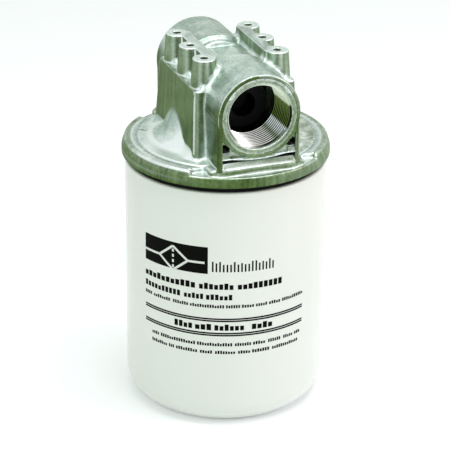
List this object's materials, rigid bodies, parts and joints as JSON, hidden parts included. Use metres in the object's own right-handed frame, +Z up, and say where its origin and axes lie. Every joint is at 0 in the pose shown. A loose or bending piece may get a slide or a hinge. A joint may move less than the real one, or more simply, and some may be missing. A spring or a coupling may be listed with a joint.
{
  "type": "hydraulic filter",
  "caption": "Spin-on hydraulic filter: cast aluminium head with in-line threaded pipe ports and mounting bosses on a tall white screw-on can with a pleated element.",
  "frame": {"origin": "centre of the can's bottom face, where it stands", "axes": "+Z up along the can, from its bottom to the head; +Y from the inlet port to the outlet port"},
  "size_m": [0.1326, 0.1326, 0.2398],
  "materials": {
    "cast_aluminium": "satin die casting",
    "white_paint": "gloss white paint on steel",
    "plated_steel": "zinc plated",
    "nitrile": "matte black",
    "filter_media": "pleated glass fibre and paper",
    "band_glue": "hot-melt strip",
    "valve_nylon": "black nylon",
    "spring_steel": "bare spring steel"
  },
  "bodies": {
    "can": {"can_shell": "white_paint", "seal_retainer": "plated_steel", "tapping_plate": "plated_steel", "upper_end_cap": "plated_steel", "lower_end_cap": "plated_steel", "element_grommet": "nitrile", "pleated_media": "filter_media", "pleat_band_1": "band_glue", "pleat_band_2": "band_glue", "pleat_band_3": "band_glue", "centre_tube": "plated_steel", "element_spring": "spring_steel"},
    "gasket": {"can_gasket": "nitrile"},
    "head": {"filter_head": "cast_aluminium", "threaded_nipple": "plated_steel", "bypass_body": "valve_nylon", "bypass_retainer": "valve_nylon", "bypass_spring": "spring_steel", "bypass_o_ring": "nitrile"},
    "poppet": {"bypass_poppet": "valve_nylon", "poppet_seal": "nitrile"}
  },
  "joints": [
    {"name": "unscrew_turn", "type": "hinge", "parent": "can", "child": "gasket", "pos_m": [0, 0, 0.1635], "axis": [0, 0, 1], "range_deg": [0, 2160]},
    {"name": "unscrew_rise", "type": "slide", "parent": "gasket", "child": "head", "axis": [0, 0, 1], "range_m": [0, 0.00953]},
    {"name": "bypass_open", "type": "slide", "parent": "head", "child": "poppet", "axis": [0, 1, 0], "range_m": [0, 0.004], "stiffness_N_per_m": 3600, "springref_m": -0.0095, "deforming": ["bypass_spring"]}
  ],
  "couplings": [
    {"joint": "unscrew_rise", "follows": "unscrew_turn", "m_per_rad": 0.00025266}
  ]
}
